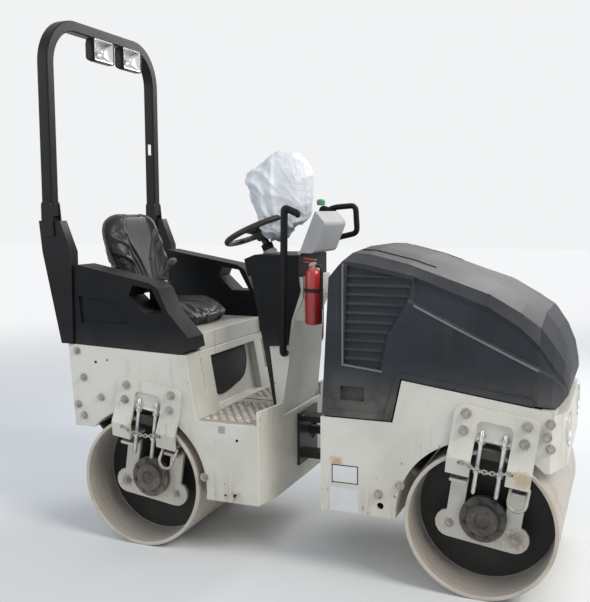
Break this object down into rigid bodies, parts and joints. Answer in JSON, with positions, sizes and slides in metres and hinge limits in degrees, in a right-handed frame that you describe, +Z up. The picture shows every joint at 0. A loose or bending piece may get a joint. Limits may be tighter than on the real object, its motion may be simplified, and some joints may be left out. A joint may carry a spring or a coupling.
{
  "type": "road roller",
  "caption": "Small articulated tandem road roller: smooth steel drums, driver's seat under a folding hoop, engine under a hinged hood, dash cover open.",
  "frame": {"origin": "centre of the bounding box on the ground", "axes": "+X forward, towards the engine hood; +Y the driver's left; +Z up"},
  "size_m": [2.274, 0.97, 2.343],
  "materials": {
    "cream_paint": "satin off-white paint, dusty and chipped",
    "drum_steel": "bare rolled steel with dull rust marks",
    "drum_inside": "matt black paint",
    "bare_steel": "bare machined steel",
    "black_paint": "satin black paint",
    "black_rubber": "matt rubber",
    "hood_plastic": "dark grey moulded plastic",
    "black_plastic": "matt black moulded plastic",
    "tread_steel": "bare perforated sheet steel",
    "seat_vinyl": "black vinyl, slightly worn",
    "cover_plastic": "grey moulded plastic",
    "white_sheet": "thin white plastic bag",
    "red_paint": "gloss red",
    "engine_paint": "dull dark grey"
  },
  "bodies": {
    "rear_unit": {"rear_frame": "cream_paint", "step_treads": "tread_steel", "rear_carrier_right": "cream_paint", "rear_carrier_left": "cream_paint", "rear_buffers": "black_rubber", "rear_hub_yokes": "cream_paint", "rear_hub_motors": "engine_paint", "rear_scraper": "black_rubber", "steering_fork": "black_paint", "console_right": "black_plastic", "console_left": "black_plastic", "seat_platform": "cream_paint", "seat_cushion": "seat_vinyl", "seat_back": "seat_vinyl", "drive_lever": "black_plastic", "hoop_legs": "black_paint", "steering_column": "cream_paint", "dash_panel": "black_plastic", "hand_rails": "black_paint", "dash_bag": "white_sheet", "extinguisher": "red_paint"},
    "roll_hoop": {"hoop": "black_paint", "work_lamps": "black_plastic"},
    "wheel": {"steering_wheel": "black_plastic"},
    "cover": {"dash_cover": "cover_plastic"},
    "rear_roll": {"rear_drum": "drum_steel"},
    "joint_link": {"pivot_knuckle": "engine_paint"},
    "front_unit": {"front_frame": "cream_paint", "front_carrier_right": "cream_paint", "front_carrier_left": "cream_paint", "front_buffers": "black_rubber", "front_hub_yokes": "cream_paint", "front_hub_motors": "engine_paint", "front_scraper": "black_rubber", "rocking_bearing": "black_paint", "engine_block": "engine_paint"},
    "hood_shell": {"hood": "hood_plastic"},
    "front_roll": {"front_drum": "drum_steel"},
    "cylinder_barrel": {"steering_barrel": "engine_paint"},
    "cylinder_rod": {"steering_rod": "bare_steel"}
  },
  "joints": [
    {"name": "rear_drum_roll", "type": "hinge", "parent": "rear_unit", "child": "rear_roll", "pos_m": [-0.643, 0, 0.29], "axis": [0, 1, 0], "continuous": true},
    {"name": "front_drum_roll", "type": "hinge", "parent": "front_unit", "child": "front_roll", "pos_m": [0.837, 0, 0.29], "axis": [0, 1, 0], "continuous": true},
    {"name": "steering_pivot", "type": "hinge", "parent": "rear_unit", "child": "joint_link", "pos_m": [0.092, 0, 0.449], "axis": [0, 0, 1], "range_deg": [-30, 30]},
    {"name": "rocking_pivot", "type": "hinge", "parent": "joint_link", "child": "front_unit", "pos_m": [0.092, 0, 0.449], "axis": [1, 0, 0], "range_deg": [-8, 8]},
    {"name": "hood_hinge", "type": "hinge", "parent": "front_unit", "child": "hood_shell", "pos_m": [1.092, 0, 0.8], "axis": [0, 1, 0], "range_deg": [0, 60]},
    {"name": "hoop_hinge", "type": "hinge", "parent": "rear_unit", "child": "roll_hoop", "pos_m": [-1.09, 0, 1.5], "axis": [0, -1, 0], "range_deg": [0, 120]},
    {"name": "steering_wheel_turn", "type": "hinge", "parent": "rear_unit", "child": "wheel", "pos_m": [-0.255, 0, 1.392], "axis": [-0.4067, 0, 0.9135], "continuous": true},
    {"name": "dash_cover_hinge", "type": "hinge", "parent": "rear_unit", "child": "cover", "pos_m": [-0.007, 0, 1.2933], "axis": [0, 1, 0], "range_deg": [-8, 20]},
    {"name": "barrel_swing", "type": "hinge", "parent": "rear_unit", "child": "cylinder_barrel", "pos_m": [-0.158, 0.1, 0.45], "axis": [0, 0, 1], "range_deg": [-5.6, 5.6]},
    {"name": "rod_slide", "type": "slide", "parent": "cylinder_barrel", "child": "cylinder_rod", "axis": [1, 0, 0], "range_m": [-0.052, 0.052]}
  ],
  "couplings": [
    {"joint": "barrel_swing", "follows": "steering_pivot", "ratio": 0.184},
    {"joint": "rod_slide", "follows": "steering_pivot", "m_per_rad": -0.0975}
  ]
}
